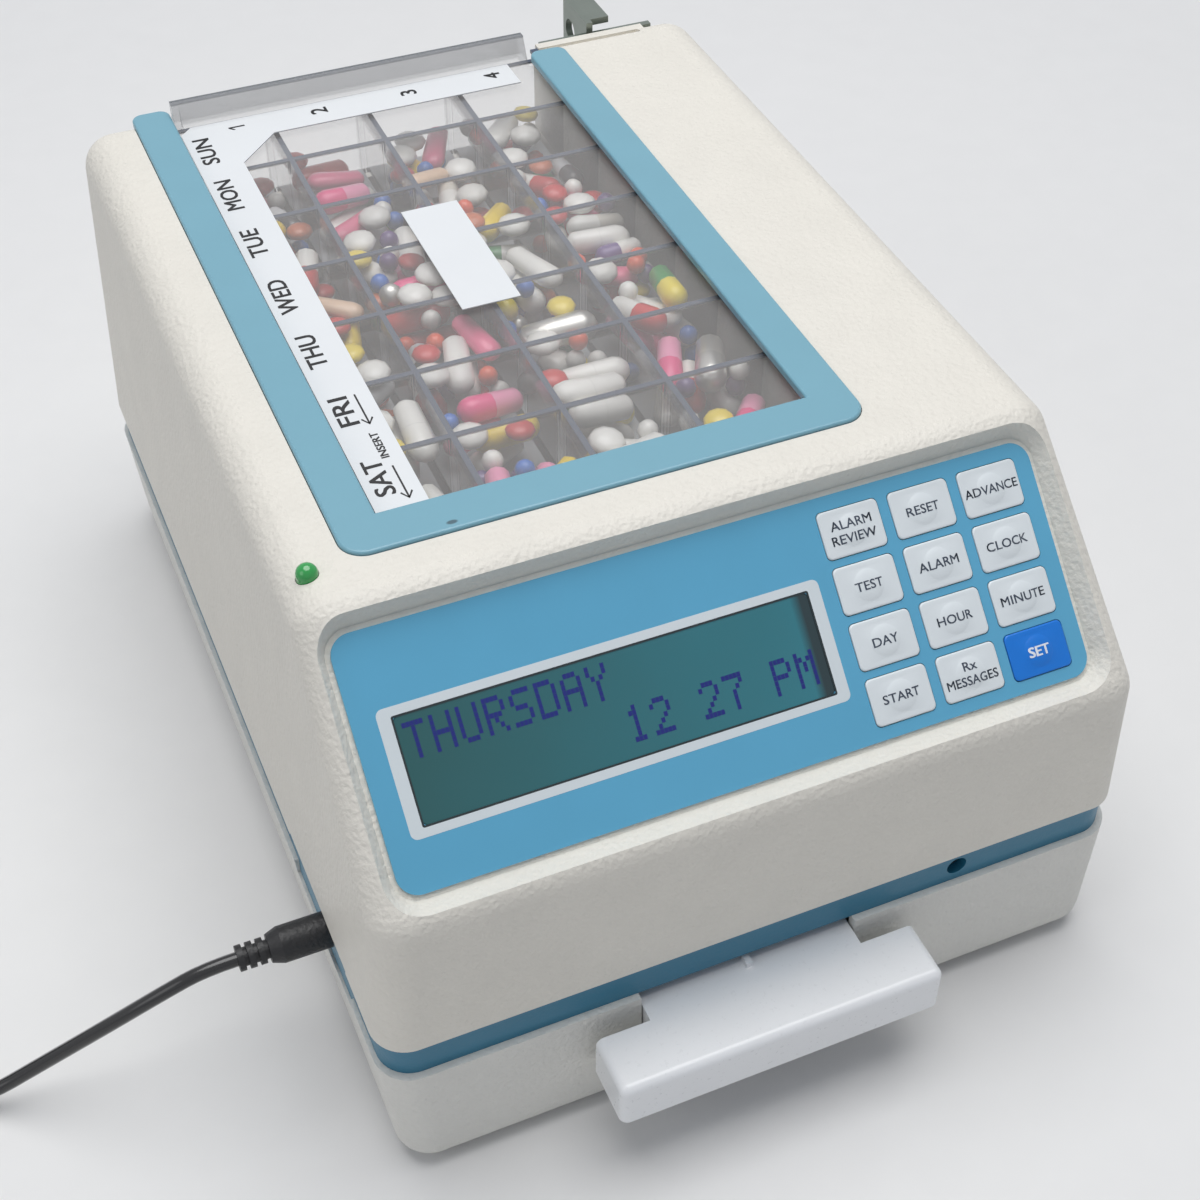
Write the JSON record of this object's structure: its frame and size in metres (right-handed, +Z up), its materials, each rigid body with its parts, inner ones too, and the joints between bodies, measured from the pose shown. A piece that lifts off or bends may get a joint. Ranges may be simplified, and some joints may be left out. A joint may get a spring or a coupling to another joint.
{
  "type": "automatic pill dispenser",
  "caption": "Automatic pill dispenser: cream case, teal trim, sloping keypad and display, clear day-by-day pill tray with sliding lid, front drawer, padlock latch, DC cord and wall adapter",
  "frame": {"origin": "under the middle of the casing, on the surface it stands on", "axes": "+X to the right seen from the front, +Y to the rear, +Z up"},
  "size_m": [0.3863, 0.2996, 0.1413],
  "materials": {
    "shell_cream": "moulded, fine spark texture",
    "frame_teal": "moulded, satin",
    "bezel_teal": "moulded, semi-gloss",
    "overlay_blue": "printed film",
    "key_grey": "satin keys",
    "key_blue": "satin key",
    "clear_window": "clear acrylic",
    "clear_smoke": "clear smoky styrene",
    "label_white": "printed label",
    "drawer_white": "moulded, glossy",
    "inner_abs": "moulded",
    "steel": "plated steel",
    "zinc_steel": "zinc plated, grey-green",
    "board_green": "circuit board",
    "black_plastic": "moulded black",
    "black_pvc": "glossy flexible sheath",
    "rubber_grey": "moulded rubber",
    "led_green": "tinted epoxy",
    "cell_case": "wrapped cell",
    "display_frame": "black coated metal"
  },
  "bodies": {
    "casing": {"upper_case": "shell_cream", "mid_frame": "frame_teal", "lower_case": "shell_cream", "tray_bezel": "bezel_teal", "panel_overlay": "overlay_blue", "keypad_board": "board_green", "dome_switches": "steel", "lcd_window": "clear_window", "lcd_module": "display_frame", "led_lamp": "led_green", "pill_chute": "inner_abs", "rod_brackets": "inner_abs", "guide_rods": "steel", "drive_motor": "display_frame", "control_board": "board_green", "buzzer": "black_plastic", "dc_jack": "black_plastic", "battery_holder": "black_plastic", "battery_cells": "cell_case", "battery_door": "shell_cream", "door_screw": "steel", "lock_rivets": "steel", "case_screws": "steel", "board_screws": "steel", "rubber_feet": "rubber_grey", "power_plug": "black_pvc", "power_cord": "black_pvc", "cord_coil": "black_pvc", "cord_tie": "black_plastic", "power_adapter": "black_plastic"},
    "tray": {"pill_tray": "clear_smoke", "trap_doors": "clear_smoke"},
    "lid": {"tray_lid": "clear_smoke", "day_label": "label_white", "plain_label": "label_white"},
    "drawer_body": {"drawer": "drawer_white"},
    "lock": {"lock_bar": "zinc_steel"},
    "screw": {"lead_screw": "steel"},
    "carriage": {"trip_carriage": "inner_abs", "lift_solenoid": "black_plastic"},
    "comb": {"trip_comb": "steel"},
    "door_1": {"sunday_door_1": "clear_smoke"},
    "door_2": {"sunday_door_2": "clear_smoke"},
    "door_3": {"sunday_door_3": "clear_smoke"},
    "door_4": {"sunday_door_4": "clear_smoke"},
    "button_alarm_review": {"key_alarm_review": "key_grey"},
    "button_reset": {"key_reset": "key_grey"},
    "button_advance": {"key_advance": "key_grey"},
    "button_test": {"key_test": "key_grey"},
    "button_alarm": {"key_alarm": "key_grey"},
    "button_clock": {"key_clock": "key_grey"},
    "button_day": {"key_day": "key_grey"},
    "button_hour": {"key_hour": "key_grey"},
    "button_minute": {"key_minute": "key_grey"},
    "button_start": {"key_start": "key_grey"},
    "button_messages": {"key_messages": "key_grey"},
    "button_set": {"key_set": "key_blue"}
  },
  "joints": [
    {"name": "tray_slide", "type": "slide", "parent": "casing", "child": "tray", "axis": [0, 1, 0], "range_m": [0, 0.21]},
    {"name": "lid_slide", "type": "slide", "parent": "tray", "child": "lid", "axis": [0, 1, 0], "range_m": [0, 0.185]},
    {"name": "drawer_slide", "type": "slide", "parent": "casing", "child": "drawer_body", "axis": [0, -1, 0], "range_m": [0, 0.075]},
    {"name": "lock_slide", "type": "slide", "parent": "casing", "child": "lock", "axis": [-1, 0, 0], "range_m": [0, 0.02]},
    {"name": "screw_turn", "type": "hinge", "parent": "casing", "child": "screw", "pos_m": [0.062, 0.0128, 0.1005], "axis": [0, 1, 0], "range_deg": [0, 3210]},
    {"name": "carriage_travel", "type": "slide", "parent": "casing", "child": "carriage", "axis": [0, 1, 0], "range_m": [0, 0.1785]},
    {"name": "comb_lift", "type": "slide", "parent": "carriage", "child": "comb", "axis": [0, 0, 1], "range_m": [0, 0.0015]},
    {"name": "sunday_door_1_drop", "type": "hinge", "parent": "tray", "child": "door_1", "pos_m": [-0.0537, 0.1246, 0.10845], "axis": [1, 0, 0], "range_deg": [0, 75]},
    {"name": "sunday_door_2_drop", "type": "hinge", "parent": "tray", "child": "door_2", "pos_m": [-0.0263, 0.1246, 0.10845], "axis": [1, 0, 0], "range_deg": [0, 75]},
    {"name": "sunday_door_3_drop", "type": "hinge", "parent": "tray", "child": "door_3", "pos_m": [0.0011, 0.1246, 0.10845], "axis": [1, 0, 0], "range_deg": [0, 75]},
    {"name": "sunday_door_4_drop", "type": "hinge", "parent": "tray", "child": "door_4", "pos_m": [0.0285, 0.1246, 0.10845], "axis": [1, 0, 0], "range_deg": [0, 75]},
    {"name": "press_alarm_review", "type": "slide", "parent": "casing", "child": "button_alarm_review", "axis": [0, 0.6855, -0.728], "range_m": [0, 0.0005], "stiffness_N_per_m": 60},
    {"name": "press_reset", "type": "slide", "parent": "casing", "child": "button_reset", "axis": [0, 0.6855, -0.728], "range_m": [0, 0.0005], "stiffness_N_per_m": 60},
    {"name": "press_advance", "type": "slide", "parent": "casing", "child": "button_advance", "axis": [0, 0.6855, -0.728], "range_m": [0, 0.0005], "stiffness_N_per_m": 60},
    {"name": "press_test", "type": "slide", "parent": "casing", "child": "button_test", "axis": [0, 0.6855, -0.728], "range_m": [0, 0.0005], "stiffness_N_per_m": 60},
    {"name": "press_alarm", "type": "slide", "parent": "casing", "child": "button_alarm", "axis": [0, 0.6855, -0.728], "range_m": [0, 0.0005], "stiffness_N_per_m": 60},
    {"name": "press_clock", "type": "slide", "parent": "casing", "child": "button_clock", "axis": [0, 0.6855, -0.728], "range_m": [0, 0.0005], "stiffness_N_per_m": 60},
    {"name": "press_day", "type": "slide", "parent": "casing", "child": "button_day", "axis": [0, 0.6855, -0.728], "range_m": [0, 0.0005], "stiffness_N_per_m": 60},
    {"name": "press_hour", "type": "slide", "parent": "casing", "child": "button_hour", "axis": [0, 0.6855, -0.728], "range_m": [0, 0.0005], "stiffness_N_per_m": 60},
    {"name": "press_minute", "type": "slide", "parent": "casing", "child": "button_minute", "axis": [0, 0.6855, -0.728], "range_m": [0, 0.0005], "stiffness_N_per_m": 60},
    {"name": "press_start", "type": "slide", "parent": "casing", "child": "button_start", "axis": [0, 0.6855, -0.728], "range_m": [0, 0.0005], "stiffness_N_per_m": 60},
    {"name": "press_messages", "type": "slide", "parent": "casing", "child": "button_messages", "axis": [0, 0.6855, -0.728], "range_m": [0, 0.0005], "stiffness_N_per_m": 60},
    {"name": "press_set", "type": "slide", "parent": "casing", "child": "button_set", "axis": [0, 0.6855, -0.728], "range_m": [0, 0.0005], "stiffness_N_per_m": 60}
  ],
  "couplings": [
    {"joint": "carriage_travel", "follows": "screw_turn", "m_per_rad": 0.0031831}
  ]
}
